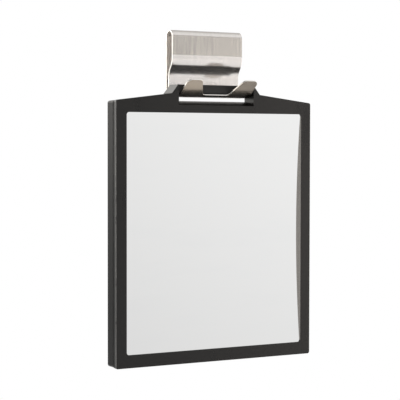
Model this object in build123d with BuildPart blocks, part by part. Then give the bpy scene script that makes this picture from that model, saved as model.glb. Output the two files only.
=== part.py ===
"""Fogless shower mirror: a shallow hot-water tank behind a curved mirror, hung on a bent steel hook.

Millimetres. +Z is up, the wall is the plane Y = 0 and the user stands on the -Y side.
The origin is the centre of the adhesive pad's face on the wall.
"""

import os
from math import cos, radians, sin

from build123d import *

# Bracket: one strip, followed from the wall plate over the top bend down to the prongs
strip_width = 68.3
strip_thickness = 1.1
plate_height = 48.0
sheet_gap = 9.3
front_drop = 16.7
jog_depth = 6.3
jog_height = 18.0
hook_drop = 15.0
hook_bend_radius = 2.5
hook_reach = 17.35
prong_fold_radius = 1.6
prong_angle = 40.0
prong_length = 20.9
notch_floor_width = 25.0
notch_mouth_width = 40.8
notch_floor_height = 2.4
notch_corner_radius = 3.6
prong_outer_radius = 5.0
prong_inner_radius = 4.2

# Adhesive pad
tape_width = 56.0
tape_height = 40.0
tape_thickness = 1.0
tape_corner_radius = 4.0

# Outline of the mirror unit, heights from its lower edge
unit_width = 190.0
shoulder_height = 219.3
shoulder_rise = 6.4
tab_rise = 7.5
tab_base_cheek = 6.4
tab_top_cheek = 0.4
outer_corner_radius = 1.9
side_bar = 9.9
bottom_bar = 10.9
top_bar = 9.7
window_corner_radius = 2.2

# Depths of the layers, from the bezel's front face
bezel_rim_depth = 3.2
neck_depth = 4.9
neck_inset = 0.6
edge_seal_thickness = 1.4
edge_seal_inset = 0.8
edge_seal_width = 1.2
tank_rear_depth = 17.6
tank_inset = 0.5
tank_wall = 1.9
tank_floor = 1.8
tank_edge_radius = 2.0
front_edge_radius = 0.5

# Curved mirror and what holds it
mirror_edge_depth = 0.65
mirror_sag = 2.9
mirror_thickness = 2.0
mirror_overlap = 2.0
mirror_side_play = 0.2
mirror_seal_thickness = 1.0
mirror_seal_width = 1.8
rail_width = 2.9

# Tab: the bar in the hook, and the slot below it
tab_depth = 15.0
bar_height = 8.9
bar_recess = 2.5
bar_front_radius = 3.6
bar_rear_radius = 2.0
bar_top_radius = 0.9
slot_side_play = 2.35
slot_front_gap = 8.4
slot_rear_gap = 4.5
tab_floor_wall = 1.3
tank_notch_play = 0.5
hang_gap = 0.3
front_ahead_of_fold = 4.45

# Screws that hold the tank to the bezel
screw_inset = 4.4
screw_diameter = 2.2
screw_head_diameter = 4.0
screw_head_height = 1.4
screw_tip_depth = 1.6
screw_play = 0.3
pillar_width = 4.2
counterbore_depth = 2.0
screw_from_tab = 17.1

# Filling port and its stopper
port_side_inset = 37.0
port_top_inset = 27.3
port_diameter = 14.0
collar_wall = 2.0
collar_length = 4.0
plug_play = 0.3
plug_stem_length = 6.0
plug_wall = 1.5
plug_floor = 0.8
plug_lip_height = 0.9
plug_lip_play = 0.1
plug_lip_from_flange = 3.0
plug_flange_diameter = 20.0
plug_flange_thickness = 1.7
plug_tab_length = 9.0
plug_tab_width = 9.0
plug_hole_diameter = 4.0

# Rubber feet on the back
bumper_diameter = 11.0
bumper_height = 2.6
bumper_side_inset = 23.0
bumper_base_inset = 17.0
bumper_chamfer = 0.9

# Places worked out from the sizes above
half_strip = strip_width / 2
strip_middle = -tape_thickness - strip_thickness / 2
front_sheet_middle = strip_middle - sheet_gap - strip_thickness
lower_sheet_middle = front_sheet_middle + jog_depth
floor_top = plate_height / 2 - front_drop - jog_height - hook_drop
floor_middle = floor_top - strip_thickness / 2
fold_y = lower_sheet_middle - strip_thickness / 2 - hook_reach
front_y = fold_y - front_ahead_of_fold
slot_width = strip_width + 2 * slot_side_play
tab_base_width = slot_width + 2 * tab_base_cheek
tab_top_width = slot_width + 2 * tab_top_cheek
tab_base_height = shoulder_height + shoulder_rise
tab_height = tab_base_height + tab_rise
bar_underside_height = tab_height - bar_height
slot_front_height = bar_underside_height - slot_front_gap
slot_rear_height = bar_underside_height - slot_rear_gap
tab_floor_height = slot_front_height - tab_floor_wall
base_z = floor_top + hang_gap - bar_underside_height
half_unit = unit_width / 2
window_width = unit_width - 2 * side_bar
window_top = shoulder_height - top_bar
window_height = window_top - bottom_bar
window_middle = bottom_bar + window_height / 2
mirror_radius = ((window_height / 2) ** 2 + mirror_sag**2) / (2 * mirror_sag)
mirror_width = window_width + 2 * mirror_overlap
mirror_height = window_height + 2 * mirror_overlap
curve_centre_depth = mirror_edge_depth + mirror_sag - mirror_radius
tank_front_depth = neck_depth + edge_seal_thickness
tank_floor_depth = tank_rear_depth - tank_floor
shoulder_slope = (tab_base_height - shoulder_height) / (half_unit - tab_base_width / 2)
slot_arc_rise = slot_rear_height - slot_front_height
ramp_radius = (tab_depth**2 + slot_arc_rise**2) / (2 * slot_arc_rise)
swing_depth = tab_depth - bar_rear_radius
swing_height = bar_underside_height + bar_rear_radius
port_x = half_unit - port_side_inset
port_height = shoulder_height - port_top_inset
bumper_x = half_unit - bumper_side_inset


def unit_plane(depth):
    """Plane parallel to the front face, this far behind it, with heights from the unit's lower edge."""
    return Plane(origin=(0, front_y + depth, base_z), x_dir=(1, 0, 0), z_dir=(0, -1, 0))


def side_plane(x):
    """Plane square to X. Its first coordinate is the depth behind the front face, its second the height."""
    return Plane(origin=(x, front_y, base_z), x_dir=(0, 1, 0), z_dir=(1, 0, 0))


def shoulder_at(x):
    """Height of the sloping shoulder at this distance from the middle."""
    return shoulder_height + (half_unit - x) * shoulder_slope


def unit_outline():
    """Face of the whole unit: bars, sloping shoulders and tab."""
    half_base, half_top = tab_base_width / 2, tab_top_width / 2
    outline = Polygon(
        (-half_unit, 0),
        (half_unit, 0),
        (half_unit, shoulder_height),
        (half_base, tab_base_height),
        (half_top, tab_height),
        (-half_top, tab_height),
        (-half_base, tab_base_height),
        (-half_unit, shoulder_height),
        align=None,
    )
    sides = outline.vertices().group_by(Axis.X)
    fillet(sides[0] + sides[-1], outer_corner_radius)


def tank_outline(inset=0.0, mode=Mode.ADD):
    """Outline of the rear shell: the unit's outline with a notch in its top edge for the tab's block."""
    half_notch = tab_base_width / 2 + tank_notch_play
    notch_floor = tab_floor_height - tank_notch_play
    low, side = inset, half_unit - inset
    drop = inset * (1 + shoulder_slope**2) ** 0.5
    outline = Polygon(
        (-side, low),
        (side, low),
        (side, shoulder_at(side) - drop),
        (half_notch + inset, shoulder_at(half_notch + inset) - drop),
        (half_notch + inset, notch_floor - inset),
        (-half_notch - inset, notch_floor - inset),
        (-half_notch - inset, shoulder_at(half_notch + inset) - drop),
        (-side, shoulder_at(side) - drop),
        align=None,
        mode=mode,
    )
    return outline


def curved_band(near, far, low, high, deepest):
    """Side view of a layer that follows the mirror's curve, between two distances behind its front."""
    with Locations((curve_centre_depth, window_middle)):
        Circle(mirror_radius + far)
        Circle(mirror_radius + near, mode=Mode.SUBTRACT)
    with Locations((deepest / 2, (low + high) / 2)):
        Rectangle(deepest, high - low, mode=Mode.INTERSECT)


def screw_places():
    """Centres of the screws, as distance from the middle and height."""
    side = half_unit - screw_inset
    top = tab_base_width / 2 + screw_from_tab
    half = [
        (side, screw_inset),
        (side, window_middle),
        (side, shoulder_at(side) - screw_inset),
        (top, shoulder_at(top) - screw_inset),
    ]
    return half + [(-x, height) for x, height in half] + [(0, screw_inset)]


def edge_along_x(part, depth, height):
    """The edge that runs along X nearest to this depth and height of the unit."""
    place = side_plane(0).from_local_coords((depth, height))
    return part.edges().filter_by(Axis.X).sort_by(lambda e: (e.center() - Vector(*place)).length)[0]


# Bracket: the strip is swept along its bends, then the notch is cut and the prongs' tips are rounded
prong_direction = Vector(0, -cos(radians(prong_angle)), sin(radians(prong_angle)))
prong_plane = Plane(
    origin=(0, fold_y, floor_middle),
    x_dir=(1, 0, 0),
    z_dir=Vector(1, 0, 0).cross(prong_direction),
)

with BuildPart() as hanger_bracket:
    with BuildLine(Plane.YZ) as bends:
        plate = Line((strip_middle, -plate_height / 2), (strip_middle, plate_height / 2))
        top_bend = JernArc(
            start=plate @ 1, tangent=(0, 1), radius=(sheet_gap + strip_thickness) / 2, arc_size=180
        )
        front_end = (front_sheet_middle, plate_height / 2 - front_drop)
        front_sheet = Line((front_sheet_middle, plate_height / 2), front_end)
        jog_middle = ((front_sheet_middle + lower_sheet_middle) / 2, front_end[1] - jog_height / 2)
        jog_end = (lower_sheet_middle, front_end[1] - jog_height)
        TangentArc(front_end, jog_middle, tangent=(0, -1))
        TangentArc(jog_end, jog_middle, tangent=(0, 1))
        FilletPolyline(
            jog_end,
            (lower_sheet_middle, floor_middle),
            (fold_y, floor_middle),
            (
                fold_y - prong_length * cos(radians(prong_angle)),
                floor_middle + prong_length * sin(radians(prong_angle)),
            ),
            radius=(hook_bend_radius + strip_thickness / 2, prong_fold_radius + strip_thickness / 2),
        )
    with BuildSketch(Plane.XY.offset(-plate_height / 2)):
        with Locations((0, strip_middle)):
            Rectangle(strip_width, strip_thickness)
    sweep(path=bends.wires()[0])
    with BuildSketch(prong_plane):
        notch = Polygon(
            (-notch_floor_width / 2, notch_floor_height),
            (notch_floor_width / 2, notch_floor_height),
            (notch_mouth_width / 2, prong_length),
            (notch_mouth_width / 2, prong_length + strip_thickness),
            (-notch_mouth_width / 2, prong_length + strip_thickness),
            (-notch_mouth_width / 2, prong_length),
            align=None,
        )
        fillet(notch.vertices().group_by(Axis.Y)[0], notch_corner_radius)
    extrude(amount=prong_length / 2, both=True, mode=Mode.SUBTRACT)
    across = hanger_bracket.edges().filter_by(Axis((0, 0, 0), tuple(prong_plane.z_dir)))
    outer_tips = across.filter_by(lambda e: abs(e.center().X) > half_strip - strip_thickness)
    inner_tips = across.sort_by(Axis((0, 0, 0), tuple(prong_direction))).filter_by(
        lambda e: abs(abs(e.center().X) - notch_mouth_width / 2) < strip_thickness
    )
    fillet(outer_tips, prong_outer_radius)
    fillet(inner_tips, prong_inner_radius)

with BuildPart() as wall_tape:
    with BuildSketch(Plane.XZ):
        RectangleRounded(tape_width, tape_height, tape_corner_radius)
    extrude(amount=tape_thickness)

# Bezel: stepped frame, tab block at full depth, rails for the mirror's edge, then window, seat and slot
with BuildPart() as front_bezel:
    with BuildSketch(unit_plane(0)):
        unit_outline()
    extrude(amount=-bezel_rim_depth)
    fillet(front_bezel.faces().sort_by(Axis.Y)[0].edges(), front_edge_radius)
    with BuildSketch(unit_plane(bezel_rim_depth)):
        tank_outline(neck_inset)
    extrude(amount=-(neck_depth - bezel_rim_depth))
    with BuildSketch(unit_plane(bezel_rim_depth)):
        Polygon(
            (-tab_base_width / 2, tab_floor_height),
            (tab_base_width / 2, tab_floor_height),
            (tab_base_width / 2, tab_base_height),
            (tab_top_width / 2, tab_height),
            (-tab_top_width / 2, tab_height),
            (-tab_base_width / 2, tab_base_height),
            align=None,
        )
    extrude(amount=-(tab_depth - bezel_rim_depth))
    with BuildSketch(unit_plane(0)):
        with Locations((0, window_middle)):
            Rectangle(window_width + 2 * rail_width, window_height)
    extrude(amount=-(mirror_edge_depth + mirror_sag + mirror_thickness))
    with BuildSketch(unit_plane(0)):
        with Locations((0, window_middle)):
            RectangleRounded(window_width, window_height, window_corner_radius)
    extrude(amount=-tank_rear_depth, mode=Mode.SUBTRACT)
    with BuildSketch(side_plane(0)):
        curved_band(
            0,
            tank_rear_depth,
            window_middle - mirror_height / 2 - mirror_side_play,
            window_middle + mirror_height / 2 + mirror_side_play,
            tank_rear_depth,
        )
    extrude(amount=mirror_width / 2 + mirror_side_play, both=True, mode=Mode.SUBTRACT)
    with BuildSketch(side_plane(0)):
        with BuildLine():
            Polyline(
                (tab_depth, slot_rear_height),
                (tank_rear_depth, slot_rear_height),
                (tank_rear_depth, bar_underside_height),
                (bar_recess, bar_underside_height),
                (bar_recess, tab_height + hang_gap),
                (-bar_recess, tab_height + hang_gap),
                (-bar_recess, slot_front_height),
                (0, slot_front_height),
            )
            RadiusArc((0, slot_front_height), (tab_depth, slot_rear_height), ramp_radius)
        make_face()
    extrude(amount=slot_width / 2, both=True, mode=Mode.SUBTRACT)
    fillet(edge_along_x(front_bezel, bar_recess, bar_underside_height), bar_front_radius)
    fillet(edge_along_x(front_bezel, tab_depth, bar_underside_height), bar_rear_radius)
    fillet(edge_along_x(front_bezel, bar_recess, tab_height), bar_top_radius)
    with BuildSketch(unit_plane(neck_depth)):
        with Locations(*screw_places()):
            Circle(screw_diameter / 2)
    extrude(amount=neck_depth - screw_tip_depth, mode=Mode.SUBTRACT)

# Mirror sheet, bent to a cylinder that lies along X
low_edge = window_middle - mirror_height / 2
high_edge = window_middle + mirror_height / 2

with BuildPart() as mirror_panel:
    with BuildSketch(side_plane(0)):
        curved_band(0, mirror_thickness, low_edge, high_edge, tank_rear_depth)
    extrude(amount=mirror_width / 2, both=True)

# Rubber ring behind the mirror's edge
seal_back = mirror_thickness + mirror_seal_thickness

with BuildPart() as mirror_seal:
    with BuildSketch(side_plane(0)):
        curved_band(mirror_thickness, seal_back, low_edge, high_edge, tank_rear_depth)
    extrude(amount=mirror_width / 2, both=True)
    with BuildSketch(unit_plane(0)):
        with Locations((0, window_middle)):
            Rectangle(mirror_width - 2 * mirror_seal_width, mirror_height - 2 * mirror_seal_width)
    extrude(amount=-tank_rear_depth, mode=Mode.SUBTRACT)

# Strip in the groove between bezel and tank
with BuildPart() as edge_seal:
    with BuildSketch(unit_plane(neck_depth)):
        tank_outline(edge_seal_inset)
        tank_outline(edge_seal_inset + edge_seal_width, mode=Mode.SUBTRACT)
    extrude(amount=-edge_seal_thickness)

# Tank: tray with rounded rear edges, ribs that press on the seal, pillars for the screws, filling port
with BuildPart() as rear_tank:
    with BuildSketch(unit_plane(tank_front_depth)):
        tray = tank_outline(tank_inset)
        sides = tray.vertices().group_by(Axis.X)
        fillet(sides[0] + sides[-1], outer_corner_radius)
    extrude(amount=-(tank_rear_depth - tank_front_depth))
    fillet(rear_tank.faces().sort_by(Axis.Y)[-1].edges(), tank_edge_radius)
    with BuildSketch(unit_plane(tank_front_depth)):
        tank_outline(tank_inset + tank_wall)
    extrude(amount=-(tank_floor_depth - tank_front_depth), mode=Mode.SUBTRACT)
    with BuildSketch(side_plane(-mirror_width / 2), side_plane(mirror_width / 2 - mirror_seal_width)):
        curved_band(seal_back, tank_rear_depth, low_edge, high_edge, tank_floor_depth)
    extrude(amount=mirror_seal_width)
    with BuildSketch(side_plane(0)):
        curved_band(seal_back, tank_rear_depth, low_edge, low_edge + mirror_seal_width, tank_floor_depth)
    extrude(amount=mirror_width / 2, both=True)
    with BuildSketch(side_plane(0)):
        curved_band(seal_back, tank_rear_depth, high_edge - mirror_seal_width, high_edge, tank_floor_depth)
    extrude(amount=mirror_width / 2, both=True)
    with BuildSketch(unit_plane(neck_depth)):
        with Locations(*screw_places()):
            Rectangle(pillar_width, pillar_width)
    extrude(amount=-(tank_floor_depth - neck_depth))
    with BuildSketch(unit_plane(tank_floor_depth - collar_length)):
        with Locations((port_x, port_height)):
            Circle(port_diameter / 2 + collar_wall)
    extrude(amount=-collar_length)
    with BuildSketch(unit_plane(0)):
        with Locations((port_x, port_height)):
            Circle(port_diameter / 2)
        with Locations(*screw_places()):
            Circle((screw_diameter + screw_play) / 2)
    extrude(amount=-tank_rear_depth, mode=Mode.SUBTRACT)
    with BuildSketch(unit_plane(tank_rear_depth)):
        with Locations(*screw_places()):
            Circle((screw_head_diameter + screw_play) / 2)
    extrude(amount=counterbore_depth, mode=Mode.SUBTRACT)

# Screws: cheese heads in the counterbores, shanks down into the bezel
screw_seat_depth = tank_rear_depth - counterbore_depth

with BuildPart() as housing_screws:
    with BuildSketch(unit_plane(screw_seat_depth)):
        with Locations(*screw_places()):
            Circle(screw_head_diameter / 2)
    extrude(amount=-screw_head_height)
    with BuildSketch(unit_plane(screw_seat_depth)):
        with Locations(*screw_places()):
            Circle(screw_diameter / 2)
    extrude(amount=screw_seat_depth - screw_tip_depth)

# Stopper of the filling port: hollow stem with a lip, flange and a pull tab with a hole
port_rear = unit_plane(tank_rear_depth)
flange_top = port_height + plug_flange_diameter / 2

with BuildPart() as fill_plug:
    with BuildSketch(port_rear):
        with Locations((port_x, port_height)):
            Circle(port_diameter / 2 - plug_play)
    extrude(amount=plug_stem_length)
    with BuildSketch(unit_plane(tank_rear_depth - plug_lip_from_flange)):
        with Locations((port_x, port_height)):
            Circle(port_diameter / 2 - plug_lip_play)
    extrude(amount=plug_lip_height)
    with BuildSketch(unit_plane(tank_rear_depth - plug_floor)):
        with Locations((port_x, port_height)):
            Circle(port_diameter / 2 - plug_play - plug_wall)
    extrude(amount=plug_stem_length, mode=Mode.SUBTRACT)
    with BuildSketch(port_rear):
        with Locations((port_x, port_height)):
            Circle(plug_flange_diameter / 2)
        with Locations((port_x, flange_top)):
            SlotOverall(2 * plug_tab_length, plug_tab_width, rotation=90)
        with Locations((port_x, flange_top + plug_tab_length - plug_tab_width / 2)):
            Circle(plug_hole_diameter / 2, mode=Mode.SUBTRACT)
    extrude(amount=-plug_flange_thickness)

with BuildPart() as wall_bumpers:
    with BuildSketch(port_rear):
        with Locations((-bumper_x, bumper_base_inset), (bumper_x, bumper_base_inset)):
            Circle(bumper_diameter / 2)
    extrude(amount=-bumper_height)
    chamfer(wall_bumpers.faces().group_by(Axis.Y)[-1].edges(), bumper_chamfer)

parts = {
    "hanger_bracket": hanger_bracket,
    "wall_tape": wall_tape,
    "front_bezel": front_bezel,
    "mirror_panel": mirror_panel,
    "mirror_seal": mirror_seal,
    "edge_seal": edge_seal,
    "rear_tank": rear_tank,
    "housing_screws": housing_screws,
    "fill_plug": fill_plug,
    "wall_bumpers": wall_bumpers,
}

os.makedirs("parts", exist_ok=True)
for name, piece in parts.items():
    piece.part.label = name
    export_step(piece.part, f"parts/{name}.step")
    print(name, f"{len(piece.solids())} solids, {piece.part.volume:.0f} mm3")

swing_axis = side_plane(0).from_local_coords((swing_depth, swing_height))
print("the unit swings about a line along X at", swing_axis)
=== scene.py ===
import math

import bmesh
import bpy
import numpy as np
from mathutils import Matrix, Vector


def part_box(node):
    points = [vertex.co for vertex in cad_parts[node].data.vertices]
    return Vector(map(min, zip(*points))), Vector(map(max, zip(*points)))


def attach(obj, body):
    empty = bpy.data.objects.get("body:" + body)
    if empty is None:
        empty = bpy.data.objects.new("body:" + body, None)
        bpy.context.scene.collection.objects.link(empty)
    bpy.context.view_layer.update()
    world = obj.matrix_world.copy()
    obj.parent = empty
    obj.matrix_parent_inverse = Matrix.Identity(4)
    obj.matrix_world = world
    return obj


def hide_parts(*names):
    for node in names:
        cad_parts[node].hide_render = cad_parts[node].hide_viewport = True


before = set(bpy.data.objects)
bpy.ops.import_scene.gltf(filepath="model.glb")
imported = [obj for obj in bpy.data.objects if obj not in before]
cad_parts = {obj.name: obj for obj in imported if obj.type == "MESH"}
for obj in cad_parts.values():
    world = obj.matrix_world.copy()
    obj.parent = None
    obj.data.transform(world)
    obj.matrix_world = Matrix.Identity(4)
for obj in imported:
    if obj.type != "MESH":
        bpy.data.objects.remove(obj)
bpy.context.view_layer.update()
mm = 0.001
print("frame loaded with", len(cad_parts), "nodes")


class Wire:
    # one socket in a node tree; arithmetic on it adds Math nodes
    def __init__(self, tree, socket):
        self.tree = tree
        self.socket = socket

    def maths(self, operation, *terms):
        return self.tree.node("ShaderNodeMath", {"operation": operation}, dict(enumerate(terms)))

    def __add__(self, other):
        return self.maths("ADD", self, other)

    def __radd__(self, other):
        return self.maths("ADD", other, self)

    def __sub__(self, other):
        return self.maths("SUBTRACT", self, other)

    def __rsub__(self, other):
        return self.maths("SUBTRACT", other, self)

    def __mul__(self, other):
        return self.maths("MULTIPLY", self, other)

    def __rmul__(self, other):
        return self.maths("MULTIPLY", other, self)


class NodeTree:
    # node tree of a material or of the world, with one method that adds any node
    def __init__(self, owner):
        owner.use_nodes = True
        self.nodes = owner.node_tree.nodes
        self.links = owner.node_tree.links

    def feed(self, socket, value):
        if isinstance(value, Wire):
            self.links.new(value.socket, socket)
        elif socket.type == "RGBA" and len(value) == 3:
            socket.default_value = (*value, 1.0)
        else:
            socket.default_value = value

    def node(self, kind, settings=None, sockets=None, output=0):
        made = self.nodes.new(kind)
        for setting, value in (settings or {}).items():
            setattr(made, setting, value)
        for socket, value in (sockets or {}).items():
            self.feed(made.inputs[socket], value)
        return Wire(self, made.outputs[output])

    def smooth(self, value, low, high):
        # 0 below low, 1 above high, and a soft step between
        levels = {"From Min": low, "From Max": high, "Value": value}
        return self.node("ShaderNodeMapRange", {"interpolation_type": "SMOOTHSTEP"}, levels)

    def split(self, vector):
        # the three parts of a vector
        parts = self.node("ShaderNodeSeparateXYZ", None, {0: vector})
        return [Wire(self, socket) for socket in parts.socket.node.outputs]

    def lobe(self, direction, toward, outer, inner):
        # 0 where direction is further from toward than the outer angle, 1 within the inner one
        unit = tuple(Vector(toward).normalized())
        ends = {0: direction, 1: unit}
        near = self.node("ShaderNodeVectorMath", {"operation": "DOT_PRODUCT"}, ends, "Value")
        return self.smooth(near, math.cos(math.radians(outer)), math.cos(math.radians(inner)))

    def mix(self, factor, first, second):
        return self.node("ShaderNodeMix", {"data_type": "RGBA"}, {0: factor, 6: first, 7: second}, 2)

    def place(self, scale=(1.0, 1.0, 1.0)):
        # the piece's own coordinates in metres, stretched by scale
        own = self.node("ShaderNodeTexCoord", output="Object")
        return self.node("ShaderNodeVectorMath", {"operation": "MULTIPLY"}, {0: own, 1: scale})

    def noise(self, scale, detail=2.0, roughness=0.5):
        # cloudy values from 0 to 1; scale is the number of clouds per metre along each axis
        sockets = {"Vector": self.place(scale), "Scale": 1.0, "Detail": detail, "Roughness": roughness}
        return self.node("ShaderNodeTexNoise", None, sockets)

    def bump(self, height, distance):
        return self.node("ShaderNodeBump", None, {"Strength": 1.0, "Distance": distance, "Height": height})


fineNoise = {"detail": 3.0, "roughness": 0.6}


def makeFinish(name, constants):
    # a material and its node tree; constants are set on the shader's own sockets
    material = bpy.data.materials.new(name)
    tree = NodeTree(material)
    tree.shader = tree.nodes["Principled BSDF"].inputs
    tree.material = material
    for socket, value in constants.items():
        tree.feed(tree.shader[socket], value)
    return tree


plastic = {
    "clouds": (18.0, 18.0, 18.0),
    "grainRough": 0.06,
    "rub": (46.0, 46.0, 12.0),
    "rubNoise": (4.0, 0.6),
    "rubLevels": (0.52, 0.72),
    "rubRough": 0.05,
    # patches, levels and reach of the painted highlight along the bezel's front side edges
    "wornPatches": (200.0, 200.0, 60.0),
    "wornLevels": (0.25, 0.45),
    "wornAcross": (0.30 * mm, 0.60 * mm),
    "wornBack": (0.48 * mm, 0.72 * mm),
    "wornFront": (0.02 * mm, 0.12 * mm),
}


def finishPlastic(name, look):
    # moulded plastic: fine spark-eroded grain, slow cloudiness, a few rubbed patches and, where the look has
    # one, a painted highlight along the front's side edges
    tree = makeFinish(name, {"IOR": look["ior"]})
    clouds = tree.noise(plastic["clouds"])
    grain = tree.noise((look["grain"],) * 3, **fineNoise)
    rub = tree.smooth(tree.noise(plastic["rub"], *plastic["rubNoise"]), *plastic["rubLevels"])
    shade = tree.mix(clouds, look["dark"], look["light"])
    if "worn" in look:
        # a painted highlight on the side edges of the front, a pale line where their radius would catch
        # light: 1 close to the unit's side and just behind its front
        along = tree.split(tree.place())
        fromSide = bezelHigh.x - tree.node("ShaderNodeMath", {"operation": "ABSOLUTE"}, {0: along[0]})
        fromFront = along[1] - bezelLow.y
        edge = 1 - tree.smooth(fromSide, *plastic["wornAcross"])
        front = 1 - tree.smooth(fromFront, *plastic["wornBack"])
        patches = tree.smooth(tree.noise(plastic["wornPatches"], **fineNoise), *plastic["wornLevels"])
        behind = tree.smooth(fromFront, *plastic["wornFront"])
        shade = tree.mix(edge * front * behind * patches, shade, look["worn"])
    rough = look["roughness"] + plastic["grainRough"] * grain - plastic["rubRough"] * rub
    tree.feed(tree.shader["Base Color"], shade)
    tree.feed(tree.shader["Roughness"], rough)
    tree.feed(tree.shader["Normal"], tree.bump(grain, look["depth"]))
    return tree.material


bezelLow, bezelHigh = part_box("front_bezel")
plasticLooks = {
    "bezelPlastic": {
        "dark": (0.0030, 0.0028, 0.0025),
        "light": (0.0048, 0.0045, 0.0040),
        # colour of the painted highlight along the front's side edges
        "worn": (0.25, 0.245, 0.235),
        "ior": 1.36,
        "grain": 2600.0,
        "roughness": 0.26,
        "depth": 0.012 * mm,
    },
    "tankPlastic": {
        "dark": (0.0035, 0.0033, 0.0030),
        "light": (0.0055, 0.0052, 0.0048),
        "ior": 1.26,
        "grain": 1900.0,
        "roughness": 0.30,
        "depth": 0.008 * mm,
    },
}

steel = {
    "streakLength": 40.0,
    "streakRough": 0.06,
    "streakShare": 0.75,
    "clouds": (25.0, 25.0, 25.0),
    "brightLevels": (0.30, 0.70),
    "lacquerRough": 0.75,
    "lacquerIor": 1.9,
    "satinRough": 0.05,
    "satinBorder": 0.3 * mm,
    "satinDepthBorder": 0.2 * mm,
    "prongsBorder": 1.5 * mm,
}


def finishSteel(name, look):
    # brushed strip under a soft lacquer: the streaks run along it and so lie in planes square to X
    lacquer = {
        "Coat Weight": look["lacquer"],
        "Coat Roughness": steel["lacquerRough"],
        "Coat IOR": steel["lacquerIor"],
    }
    tree = makeFinish(name, {"Metallic": 1.0, **lacquer})
    streaks = tree.noise((look["streaks"], steel["streakLength"], steel["streakLength"]), **fineNoise)
    clouds = tree.noise(steel["clouds"])
    mixed = steel["streakShare"] * streaks + (1 - steel["streakShare"]) * clouds
    bright = tree.smooth(mixed, *steel["brightLevels"])
    shade = tree.mix(bright, look["dark"], look["light"])
    rough = look["roughness"] + steel["streakRough"] * streaks
    if "satin" in look:
        # a field of the front sheet is satin: 1 in front of satinFront and between the two heights
        along = tree.split(tree.place())
        low, high = look["satinHeights"]
        face, border, deep = look["satinFront"], steel["satinBorder"], steel["satinDepthBorder"]
        inFront = 1 - tree.smooth(along[1], face - deep, face + deep)
        above = tree.smooth(along[2], low - border, low + border)
        below = 1 - tree.smooth(along[2], high - border, high + border)
        field = inFront * above * below
        shade = tree.mix(field, shade, tree.mix(bright, look["satin"], look["satinLight"]))
        rough = rough + steel["satinRough"] * field
    if "prongs" in look:
        # in front of prongsFrom the strip has the prongs' polish, and behind it the gap's paler colour
        front = 1 - tree.smooth(tree.split(tree.place())[1], prongsFrom - steel["prongsBorder"], prongsFrom)
        shade = tree.mix(front, look["gap"], shade)
        rough = rough + (look["prongs"] - look["roughness"]) * front
    tree.feed(tree.shader["Base Color"], shade)
    tree.feed(tree.shader["Roughness"], rough)
    tree.feed(tree.shader["Normal"], tree.bump(streaks, look["depth"]))
    return tree.material


bracketLow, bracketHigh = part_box("hanger_bracket")
prongsFrom = bracketLow.y + 17.0 * mm
steelLooks = {
    "bracketSteel": {
        "dark": (0.70, 0.665, 0.635),
        "light": (0.76, 0.725, 0.70),
        "satin": (0.350, 0.332, 0.305),
        "satinLight": (0.478, 0.455, 0.420),
        "satinFront": bracketHigh.y - 8.0 * mm,
        "satinHeights": (bracketHigh.z - 20.9 * mm, bracketHigh.z - 4.3 * mm),
        "lacquer": 0.90,
        "streaks": 1200.0,
        "roughness": 0.16,
        "depth": 0.006 * mm,
    },
    "innerSteel": {
        "dark": (0.66, 0.62, 0.57),
        "light": (0.74, 0.70, 0.65),
        "lacquer": 0.0,
        "streaks": 1500.0,
        "gap": (0.93, 0.90, 0.87),
        "prongs": 0.16,
        "roughness": 0.46,
        "depth": 0.002 * mm,
    },
    "shearedSteel": {
        "dark": (0.84, 0.82, 0.78),
        "light": (0.92, 0.90, 0.86),
        "lacquer": 0.0,
        "streaks": 4000.0,
        "roughness": 0.30,
        "depth": 0.01 * mm,
    },
    "screwSteel": {
        "dark": (0.34, 0.34, 0.335),
        "light": (0.50, 0.50, 0.49),
        "lacquer": 0.0,
        "streaks": 3000.0,
        "roughness": 0.25,
        "depth": 0.003 * mm,
    },
}


def finishMirror(name, look):
    # silvered sheet: nearly sharp, with faint wipe marks in the roughness
    tree = makeFinish(name, {"Metallic": 1.0})
    wipes = tree.smooth(tree.noise(look["wipes"], *look["wipeNoise"]), *look["wipeLevels"])
    tree.feed(tree.shader["Base Color"], tree.mix(wipes, look["clean"], look["wiped"]))
    tree.feed(tree.shader["Roughness"], look["roughness"] + look["haze"] * wipes)
    return tree.material


mirrorLook = {
    "clean": (0.925, 0.925, 0.920),
    "wiped": (0.915, 0.917, 0.914),
    "wipes": (14.0, 60.0, 60.0),
    "wipeNoise": (3.0, 0.55),
    "wipeLevels": (0.45, 0.75),
    "roughness": 0.015,
    "haze": 0.02,
}

rubber = {"dust": (120.0, 120.0, 120.0), "dustLevels": (0.45, 0.75), "pitRough": 0.12}


def finishRubber(name, look):
    # soft rubber or foam: matt, with pits of the given size
    tree = makeFinish(name, {"IOR": look["ior"]})
    pits = tree.noise((look["pits"],) * 3, **fineNoise)
    dust = tree.smooth(tree.noise(rubber["dust"], **fineNoise), *rubber["dustLevels"])
    tree.feed(tree.shader["Base Color"], tree.mix(dust, look["clean"], look["dusty"]))
    tree.feed(tree.shader["Roughness"], look["roughness"] + rubber["pitRough"] * pits)
    tree.feed(tree.shader["Normal"], tree.bump(pits, look["depth"]))
    return tree.material


rubberLooks = {
    "sealRubber": {
        "clean": (0.018, 0.018, 0.018),
        "dusty": (0.030, 0.030, 0.029),
        "ior": 1.45,
        "pits": 1400.0,
        "roughness": 0.55,
        "depth": 0.02 * mm,
    },
    "plugRubber": {
        "clean": (0.022, 0.022, 0.022),
        "dusty": (0.040, 0.039, 0.037),
        "ior": 1.45,
        "pits": 900.0,
        "roughness": 0.50,
        "depth": 0.02 * mm,
    },
    "tapeFoam": {
        "clean": (0.36, 0.36, 0.345),
        "dusty": (0.30, 0.30, 0.29),
        "ior": 1.4,
        "pits": 2800.0,
        "roughness": 0.75,
        "depth": 0.12 * mm,
    },
}

finishes = {"mirrorSilver": finishMirror("mirrorSilver", mirrorLook)}
for make, looks in ((finishPlastic, plasticLooks), (finishSteel, steelLooks), (finishRubber, rubberLooks)):
    for name, look in looks.items():
        finishes[name] = make(name, look)
print("finishes made:", len(finishes))


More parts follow.
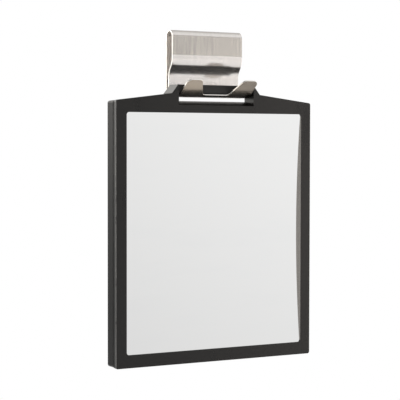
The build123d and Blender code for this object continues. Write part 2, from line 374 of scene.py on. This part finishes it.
def gridQuads(rows, columns, first=0):
    # corner numbers of the quads of a grid whose points are numbered row by row
    corner = first + (np.arange(rows - 1)[:, None] * columns + np.arange(columns - 1)).ravel()
    return np.stack([corner, corner + 1, corner + columns + 1, corner + columns], axis=1)


weldReach = 0.001 * mm
copyWeldReach = 0.0005 * mm


def meshFromGrids(name, grids):
    # one mesh from grids of points (rows, columns, 3); borders that meet are welded
    points = np.concatenate([grid.reshape(-1, 3) for grid in grids])
    quads = []
    first = 0
    for grid in grids:
        rows, columns = grid.shape[:2]
        quads.append(gridQuads(rows, columns, first))
        first += rows * columns
    mesh = bpy.data.meshes.new(name)
    mesh.from_pydata(points.tolist(), [], np.concatenate(quads).tolist())
    welded = bmesh.new()
    welded.from_mesh(mesh)
    bmesh.ops.remove_doubles(welded, verts=welded.verts, dist=weldReach)
    bmesh.ops.dissolve_degenerate(welded, edges=welded.edges, dist=0.5 * weldReach)
    bmesh.ops.recalc_face_normals(welded, faces=welded.faces)
    welded.to_mesh(mesh)
    welded.free()
    return mesh


def addPiece(name, mesh, finish, body, replaced=None):
    # object at the origin that rides on a body and, if named, stands for a CAD node
    mesh.materials.clear()
    mesh.materials.append(finishes[finish])
    mesh.shade_smooth()
    piece = bpy.data.objects.new(name, mesh)
    bpy.context.scene.collection.objects.link(piece)
    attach(piece, body)
    if replaced:
        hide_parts(replaced)
    return piece


def roundEdges(piece, width, angle=50.0):
    # small radius on edges that turn by more than angle, shaded so that flats stay flat
    bevel = piece.modifiers.new("edgeRadius", "BEVEL")
    bevel.width = width
    bevel.segments = 2
    bevel.limit_method = "ANGLE"
    bevel.angle_limit = math.radians(angle)
    bevel.harden_normals = True


def arcRun(start, heading, turn, radius, steps):
    # points and headings along an arc in the YZ plane: centre plus radius times the turned side vector
    angles = heading + np.linspace(0, turn, steps + 1)
    side = np.sign(turn)
    centre = np.array(start) + side * radius * np.array([-math.sin(heading), math.cos(heading)])
    points = centre - side * radius * np.stack([-np.sin(angles), np.cos(angles)], axis=1)
    return points, angles


def straightRun(start, heading, lengths):
    # points and headings at the given distances along a straight line in the YZ plane
    along = np.array([math.cos(heading), math.sin(heading)])
    return np.array(start) + np.outer(lengths, along), np.full(len(lengths), heading)


bracket = {
    "thickness": 1.1 * mm,
    "plateHeight": 48.0 * mm,
    "sheetGap": 9.3 * mm,
    "frontDrop": 16.7 * mm,
    "jogDepth": 6.3 * mm,
    "jogHeight": 18.0 * mm,
    "hookDrop": 15.0 * mm,
    "hookReach": 17.35 * mm,
    "hookRadius": 3.05 * mm,
    "foldRadius": 2.15 * mm,
    "prongAngle": math.radians(40.0),
    "prongLength": 20.9 * mm,
    "notchFloor": 2.4 * mm,
    "notchFloorHalf": 12.5 * mm,
    "notchMouthHalf": 20.4 * mm,
    "notchRadius": 3.6 * mm,
    "outerTipRadius": 5.0 * mm,
    "innerTipRadius": 4.2 * mm,
    "edgeRadius": 0.12 * mm,
    "arcSteps": 40,
    "lineSteps": 6,
    "quarterSteps": 14,
    "notchSteps": 11,
    "columns": 14,
    "hair": 1e-9,
}


def bracketPath(b):
    # middle line of the strip as straight runs and arcs, from the wall plate's foot to the hook's fold
    middle = bracketHigh.y - b["thickness"] / 2
    loopRadius = (b["sheetGap"] + b["thickness"]) / 2
    jogRadius = (b["jogDepth"] ** 2 + b["jogHeight"] ** 2) / (4 * b["jogDepth"])
    jogTurn = math.asin(b["jogHeight"] / 2 / jogRadius)
    foldTrim = b["foldRadius"] * math.tan(b["prongAngle"] / 2)
    drop = b["hookDrop"] + b["thickness"] / 2 - b["hookRadius"]
    floor = b["hookReach"] + b["thickness"] / 2 - b["hookRadius"] - foldTrim
    steps = b["arcSteps"]
    runs = [
        ("line", b["plateHeight"]),
        ("arc", math.pi, loopRadius, 2 * steps),
        ("line", b["frontDrop"]),
        ("arc", jogTurn, jogRadius, steps),
        ("arc", -jogTurn, jogRadius, steps),
        ("line", drop),
        ("arc", -math.pi / 2, b["hookRadius"], steps),
        ("line", floor),
        ("arc", -b["prongAngle"], b["foldRadius"], steps // 2),
    ]
    place = np.array([middle, bracketHigh.z - loopRadius - b["thickness"] / 2 - b["plateHeight"]])
    heading = math.pi / 2
    points, headings = [place[None, :]], [np.array([heading])]
    for kind, amount, *rest in runs:
        if kind == "line":
            run, angles = straightRun(place, heading, np.linspace(0, amount, b["lineSteps"] + 1)[1:])
        else:
            run, angles = arcRun(place, heading, amount, *rest)
            run, angles = run[1:], angles[1:]
        points.append(run)
        headings.append(angles)
        place, heading = run[-1], angles[-1]
    return np.concatenate(points), np.concatenate(headings)


def prongRows(b):
    # distances along the prong, packed close where its outline curves
    trim = b["foldRadius"] * math.tan(b["prongAngle"] / 2)
    length = b["prongLength"]
    quarter = np.linspace(0, math.pi / 2, b["quarterSteps"] + 1)
    lean = math.atan2(b["notchMouthHalf"] - b["notchFloorHalf"], length - b["notchFloor"])
    notchEnd = b["notchFloor"] + b["notchRadius"] * (1 - math.sin(lean))
    low = b["notchFloor"] + (notchEnd - b["notchFloor"]) * (1 - np.cos(quarter))
    tipStart = length - b["outerTipRadius"]
    tip = tipStart + b["outerTipRadius"] * np.sin(quarter)
    middle = np.linspace(notchEnd, tipStart, b["notchSteps"] + 1)
    return np.unique(np.round(np.concatenate([[trim], low, middle, tip]), 9)), trim


def notchEdge(b, v):
    # half width of the notch at distance v: floor arc, leaning side, then the arc of the prong's inner tip
    length, radius, tipRadius = b["prongLength"], b["notchRadius"], b["innerTipRadius"]
    slope = (b["notchMouthHalf"] - b["notchFloorHalf"]) / (length - b["notchFloor"])
    lean = math.atan(slope)
    reach = math.tan((math.pi / 2 - lean) / 2)
    side = b["notchFloorHalf"] + slope * (v - b["notchFloor"])
    floorCentre = b["notchFloorHalf"] - radius * reach
    lowSpan = np.clip(radius - (v - b["notchFloor"]), 0, radius)
    low = floorCentre + np.sqrt(radius**2 - lowSpan**2)
    lowEnd = b["notchFloor"] + radius * (1 - math.sin(lean))
    tipCentre = b["notchMouthHalf"] + tipRadius * reach
    highSpan = np.clip(v - (length - tipRadius), 0, tipRadius)
    high = tipCentre - np.sqrt(tipRadius**2 - highSpan**2)
    highStart = length - tipRadius * (1 - math.sin(lean))
    return np.where(v < lowEnd, low, np.where(v > highStart, high, side))


def outerEdge(b, v, half):
    # half width of the strip at distance v: straight, then the quarter arc of the prong's outer tip
    span = np.clip(v - (b["prongLength"] - b["outerTipRadius"]), 0, b["outerTipRadius"])
    return half - b["outerTipRadius"] + np.sqrt(b["outerTipRadius"] ** 2 - span**2)


def makeBracket(b):
    # sheet of grids: every row is a line across the strip at one point of its path
    half = bracketHigh.x
    path, headings = bracketPath(b)
    foldEnd, foldHeading = path[-1], headings[-1]
    rows, trim = prongRows(b)
    prongPath = straightRun(foldEnd, foldHeading, rows - trim)[0]
    bodyRows = rows <= b["notchFloor"] + b["hair"]
    body = np.concatenate([path, prongPath[bodyRows][1:]])
    inner = notchEdge(b, np.array([b["notchFloor"]]))[0]

    def across(line, left, right, count):
        # straight rows from left to right at each point of the line
        share = np.linspace(0, 1, count)
        x = left[:, None] + (right - left)[:, None] * share
        y = np.repeat(line[:, :1], count, axis=1)
        z = np.repeat(line[:, 1:], count, axis=1)
        return np.stack([x, y, z], axis=2)

    ones = np.ones(len(body))
    columns = b["columns"]
    tips = rows >= b["notchFloor"] - b["hair"]
    notch, outer = notchEdge(b, rows[tips]), outerEdge(b, rows[tips], half)
    prongs = prongPath[tips]
    grids = [
        across(body, -half * ones, -inner * ones, columns),
        across(body, -inner * ones, inner * ones, columns),
        across(body, inner * ones, half * ones, columns),
        across(prongs, -outer, -notch, columns),
        across(prongs, notch, outer, columns),
    ]
    strip = meshFromGrids("hangerStrip", grids)
    # the user's side is the mesh's front; the thickness then gives its other side the mill finish
    strip.flip_normals()
    piece = addPiece("hangerStrip", strip, "bracketSteel", "wall_hook", "hanger_bracket")
    wall = piece.modifiers.new("sheetThickness", "SOLIDIFY")
    wall.thickness = b["thickness"]
    wall.offset = 0.0
    wall.use_even_offset = True
    for finish in ("innerSteel", "shearedSteel"):
        piece.data.materials.append(finishes[finish])
    wall.material_offset = 1
    wall.material_offset_rim = 2
    roundEdges(piece, b["edgeRadius"])


makeBracket(bracket)
print("bracket strip made")

mirrorLow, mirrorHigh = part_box("mirror_panel")
mirrorSheet = {
    "sag": 2.9 * mm,
    "windowHalf": 99.35 * mm,
    "edgeDepth": 0.65 * mm,
    "thickness": 2.0 * mm,
    "edgeRadius": 0.15 * mm,
    "rows": 161,
    "columns": 25,
    "edgeRows": 4,
}


def makeMirror(m):
    # front and back are cylinders about one line along X: its y plus the root of radius² less height²
    radius = (m["windowHalf"] ** 2 + m["sag"] ** 2) / (2 * m["sag"])
    middle = (mirrorLow.z + mirrorHigh.z) / 2
    axis = bezelLow.y + m["edgeDepth"] + m["sag"] - radius
    height = np.linspace(mirrorLow.z, mirrorHigh.z, m["rows"])
    width = np.linspace(mirrorLow.x, mirrorHigh.x, m["columns"])
    share = np.linspace(0, 1, m["edgeRows"])[:, None, None]
    x, z = np.meshgrid(width, height)

    def surface(depth):
        return axis + np.sqrt((radius + depth) ** 2 - (z - middle) ** 2)

    front = np.stack([x, surface(0.0), z], axis=2)
    back = np.stack([x, surface(m["thickness"]), z], axis=2)
    borders = []
    for edge in (np.s_[0, :], np.s_[-1, :], np.s_[:, 0], np.s_[:, -1]):
        borders.append(front[edge][None] * (1 - share) + back[edge][None] * share)
    mesh = meshFromGrids("mirrorSheet", [front, back, *borders])
    piece = addPiece("mirrorSheet", mesh, "mirrorSilver", "mirror_unit", "mirror_panel")
    roundEdges(piece, m["edgeRadius"])


makeMirror(mirrorSheet)
print("curved mirror made")

shell = {"flatAngle": 0.4, "sharpAngle": 28.0, "flatWeight": 80}


def smoothCopy(node, name, finish, body):
    # welded copy of a CAD node whose flats are joined and shaded flat
    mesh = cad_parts[node].data.copy()
    mesh.name = name
    welded = bmesh.new()
    welded.from_mesh(mesh)
    bmesh.ops.remove_doubles(welded, verts=welded.verts, dist=copyWeldReach)
    turn = math.radians(shell["flatAngle"])
    bmesh.ops.dissolve_limit(welded, angle_limit=turn, verts=welded.verts, edges=welded.edges, delimit=set())
    welded.to_mesh(mesh)
    welded.free()
    if "custom_normal" in mesh.attributes:
        mesh.attributes.remove(mesh.attributes["custom_normal"])
    piece = addPiece(name, mesh, finish, body, node)
    mesh.set_sharp_from_angle(angle=math.radians(shell["sharpAngle"]))
    shading = piece.modifiers.new("flatsFirst", "WEIGHTED_NORMAL")
    shading.keep_sharp = True
    shading.weight = shell["flatWeight"]


smoothCopy("front_bezel", "bezelShell", "bezelPlastic", "mirror_unit")
smoothCopy("rear_tank", "tankShell", "tankPlastic", "mirror_unit")
smoothCopy("fill_plug", "portStopper", "plugRubber", "plug")
smoothCopy("wall_tape", "stickyPad", "tapeFoam", "wall_hook")
smoothCopy("wall_bumpers", "rearFeet", "sealRubber", "mirror_unit")
for node in ("mirror_seal", "edge_seal"):
    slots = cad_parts[node].data.materials
    slots.clear()
    slots.append(finishes["sealRubber"])
print("shells and small parts made")

screwLow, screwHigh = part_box("housing_screws")
screw = {
    "headHalf": 2.0 * mm,
    "headHeight": 1.4 * mm,
    "rimRadius": 0.25 * mm,
    "crown": 0.18 * mm,
    "armHalf": 0.30 * mm,
    "armReach": 1.20 * mm,
    "recess": 0.85 * mm,
    "recessDraft": 0.10 * mm,
    "shankHalf": 1.1 * mm,
    "rings": 34,
    "rimSteps": 4,
    "columns": 72,
    "turn": 0.9,
    "sharpAngle": 35.0,
    "sidePlace": 90.6 * mm,
    "topPlace": 60.0 * mm,
    "heights": (4.4 * mm, 110.25 * mm, 215.44 * mm, 219.2 * mm),
}


def makeScrews(c):
    # each screw is its profile turned about its axis; the head is sunk by the depth of two crossing slots
    head, rim, crown, shank = c["headHalf"], c["rimRadius"], c["crown"], c["shankHalf"]
    quarter = np.linspace(0, math.pi / 2, c["rimSteps"] + 1)[1:]
    flat = np.linspace(0, head - rim, c["rings"])
    crowned = crown * (flat / (head - rim)) ** 2
    length = screwHigh.y - screwLow.y
    radius = np.concatenate([flat, head - rim + rim * np.sin(quarter), [head, shank, shank, 0.0]])
    rounded = crown + rim * (1 - np.cos(quarter))
    depth = np.concatenate([crowned, rounded, [c["headHeight"]] * 2, [length] * 2])
    angle = np.linspace(0, 2 * math.pi, c["columns"] + 1)
    base = bezelLow.z
    low, middle, high, top = (base + height for height in c["heights"])
    side, inner = c["sidePlace"], c["topPlace"]
    right = [(side, low), (side, middle), (side, high), (inner, top)]
    grids = []
    for count, (x, z) in enumerate(right + [(-x, z) for x, z in right] + [(0.0, low)]):
        u, v = np.outer(radius, np.cos(angle)), np.outer(radius, np.sin(angle))
        near = np.minimum(np.abs(u), np.abs(v))
        inArm = np.clip((c["armHalf"] - near) / c["recessDraft"] + 0.5, 0, 1)
        inReach = np.clip((c["armReach"] - radius[:, None]) / c["recessDraft"] + 0.5, 0, 1)
        sunk = depth[:, None] + c["recess"] * inArm * inReach * (depth[:, None] < c["headHeight"])
        turn = c["turn"] * count
        across = x + u * math.cos(turn) - v * math.sin(turn)
        upward = z + u * math.sin(turn) + v * math.cos(turn)
        grids.append(np.stack([across, screwHigh.y - sunk, upward], axis=2))
    mesh = meshFromGrids("caseScrews", grids)
    addPiece("caseScrews", mesh, "screwSteel", "mirror_unit", "housing_screws")
    mesh.set_sharp_from_angle(angle=math.radians(c["sharpAngle"]))


makeScrews(screw)
print("screws made")

studio = {
    "floorHeight": -0.85,
    "floorRadius": 3.0,
    "floorRings": (0.001, 0.5, 1.0),
    "floorSides": 96,
    "floorFade": (0.6, 2.4),
    "floorColour": (0.80, 0.80, 0.79),
    "floorDarker": 0.97,
    "floorClouds": (3.0, 3.0, 3.0),
    "floorRoughness": 0.9,
    # what reflections see of the floor: painted shade, dark and warm near the middle, white further out
    "reflectedShadeNear": (0.50, 0.43, 0.35),
    "reflectedWhiteFar": (1.05, 1.05, 1.05),
    "reflectedShadeFade": (0.2, 1.2),
    "skyDiffuse": 0.50,
    "skyBase": 0.277,
    "skyRight": 0.70,
    "skyRightEnd": 0.62,
    "skyRear": 0.34,
    "skyRearTurn": (0.3, 0.8),
    "skyLeast": 0.25,
    "skyLow": 0.40,
    "skyTurn": (-0.17, 0.07),
    "skyHigh": 0.36,
    "skyRise": (-0.01, 0.07),
    "boxes": {
        "rightSide": {
            "toward": (0.92, -0.39, 0.0),
            "outer": 31.0,
            "inner": 14.0,
            "light": (6.0, 5.3, 4.8),
        },
        "leftSide": {
            "toward": (-0.50, -0.86, -0.03),
            "outer": 16.0,
            "inner": 9.0,
            "light": (5.8, 5.4, 5.0),
        },
        "leftEdge": {
            "toward": (-0.90, -0.43, 0.0),
            "outer": 28.0,
            "inner": 12.0,
            "light": (5.0, 4.8, 4.6),
        },
        "leftRear": {
            "toward": (-0.50, 0.86, 0.0),
            "outer": 34.0,
            "inner": 18.0,
            "light": (0.30, 0.30, 0.29),
        },
        "highBehind": {
            "toward": (-0.38, 0.82, 0.42),
            "outer": 30.0,
            "inner": 14.0,
            "light": (3.3, 3.2, 3.05),
        },
        "darkCeiling": {
            "toward": (0.50, 0.42, 0.76),
            "outer": 36.0,
            "inner": 12.0,
            "light": (-0.26, -0.27, -0.29),
        },
    },
    "lamps": {
        "behindCamera": {"place": (-1.1, -1.75, 0.75), "size": 0.9, "watts": 16.0},
        "overhead": {"place": (0.25, -0.55, 1.35), "size": 0.8, "watts": 10.0},
        "rightFront": {"place": (0.85, -0.45, 0.15), "size": 0.35, "watts": 2.0},
    },
    "aim": (0.0, -0.02, -0.13),
}


def makeWorld(s):
    # white for the camera; shiny pieces see a slow gradient, dimmer towards the wall, and soft boxes
    world = bpy.data.worlds.new("studioWorld")
    bpy.context.scene.world = world
    tree = NodeTree(world)
    direction = tree.node("ShaderNodeTexCoord", output="Generated")
    across, inward, upward = tree.split(direction)
    low = 1 - tree.smooth(upward, *s["skyTurn"])
    high = tree.smooth(upward, *s["skyRise"])
    rise = tree.node("ShaderNodeMath", {"operation": "MINIMUM"}, {0: across, 1: s["skyRightEnd"]})
    glow = s["skyBase"] + s["skyRight"] * rise + s["skyLow"] * low + s["skyHigh"] * high
    glow = glow * (1 - s["skyRear"] * tree.smooth(inward, *s["skyRearTurn"]))
    glow = tree.node("ShaderNodeMath", {"operation": "MAXIMUM"}, {0: glow, 1: s["skyLeast"]})
    for box in s["boxes"].values():
        spot = tree.lobe(direction, box["toward"], box["outer"], box["inner"])
        terms = {0: box["light"], 1: spot, 2: glow}
        glow = tree.node("ShaderNodeVectorMath", {"operation": "MULTIPLY_ADD"}, terms)
    isCamera = tree.node("ShaderNodeLightPath", output="Is Camera Ray")
    isGlossy = tree.node("ShaderNodeLightPath", output="Is Glossy Ray")
    isThrough = tree.node("ShaderNodeLightPath", output="Is Transmission Ray")
    shiny = tree.node("ShaderNodeMath", {"operation": "MAXIMUM"}, {0: isGlossy, 1: isThrough})
    soft = tree.mix(shiny, (s["skyDiffuse"],) * 3, glow)
    tree.feed(tree.nodes["Background"].inputs["Color"], tree.mix(isCamera, soft, (1.0, 1.0, 1.0)))


def makeFloor(s):
    # pale disc well below the mirror; it fades to white far out, and reflections see it glow with painted
    # shade, dark and warm in the middle and white further out
    turn = np.linspace(0, 2 * math.pi, s["floorSides"] + 1)
    rings = np.array(s["floorRings"]) * s["floorRadius"]
    x = np.outer(rings, np.cos(turn))
    y = np.outer(rings, np.sin(turn))
    mesh = meshFromGrids("studioFloor", [np.stack([x, y, np.full_like(x, s["floorHeight"])], axis=2)])
    tree = makeFinish("floorPaper", {"Roughness": s["floorRoughness"]})
    clouds = tree.noise(s["floorClouds"])
    darker = tuple(s["floorDarker"] * c for c in s["floorColour"])
    tree.feed(tree.shader["Base Color"], tree.mix(clouds, darker, s["floorColour"]))
    flat = tree.place((1.0, 1.0, 0.0))
    reach = tree.node("ShaderNodeVectorMath", {"operation": "LENGTH"}, {0: flat}, "Value")
    far = tree.smooth(reach, *s["floorFade"])
    isCamera = tree.node("ShaderNodeLightPath", output="Is Camera Ray")
    isGlossy = tree.node("ShaderNodeLightPath", output="Is Glossy Ray")
    white = tree.node("ShaderNodeEmission", None, {"Color": (1.0, 1.0, 1.0), "Strength": 1.0})
    # shiny pieces see the floor as an emission with painted shade: dark and warm near the middle under the
    # unit, white further out
    shade = tree.mix(tree.smooth(reach, *s["reflectedShadeFade"]), s["reflectedShadeNear"], s["reflectedWhiteFar"])
    paintedReflection = tree.node("ShaderNodeEmission", None, {"Color": shade, "Strength": 1.0})
    paper = Wire(tree, tree.nodes["Principled BSDF"].outputs[0])
    seen = tree.node("ShaderNodeMixShader", None, {0: far * isCamera, 1: paper, 2: white})
    both = tree.node("ShaderNodeMixShader", None, {0: isGlossy, 1: seen, 2: paintedReflection})
    tree.feed(tree.nodes["Material Output"].inputs["Surface"], both)
    mesh.materials.append(tree.material)
    floor = bpy.data.objects.new("studioFloor", mesh)
    bpy.context.scene.collection.objects.link(floor)


def makeLamps(s):
    # soft discs aimed at the mirror unit; they light matt surfaces only, and no shiny piece shows them
    for name, lamp in s["lamps"].items():
        light = bpy.data.lights.new(name, "AREA")
        light.shape = "DISK"
        light.size = lamp["size"]
        light.energy = lamp["watts"]
        source = bpy.data.objects.new(name, light)
        bpy.context.scene.collection.objects.link(source)
        source.location = lamp["place"]
        source.visible_glossy = False
        aim = Vector(s["aim"]) - source.location
        source.rotation_euler = aim.to_track_quat("-Z", "Y").to_euler()


makeWorld(studio)
makeFloor(studio)
makeLamps(studio)
print("studio made")

viewpoint = {
    "place": (-0.62899, -1.08909, -0.06582),
    "turn": (math.radians(87.80), math.radians(-0.09), math.radians(-30.0)),
    "lens": 131.78,
    "sensor": 36.0,
}


def makeCamera(v):
    lens = bpy.data.cameras.new("photoCamera")
    lens.sensor_width = v["sensor"]
    lens.lens = v["lens"]
    camera = bpy.data.objects.new("photoCamera", lens)
    camera.location = v["place"]
    camera.rotation_euler = v["turn"]
    bpy.context.scene.collection.objects.link(camera)
    bpy.context.scene.camera = camera


makeCamera(viewpoint)
bpy.context.scene.view_settings.view_transform = "Standard"
print("camera set")
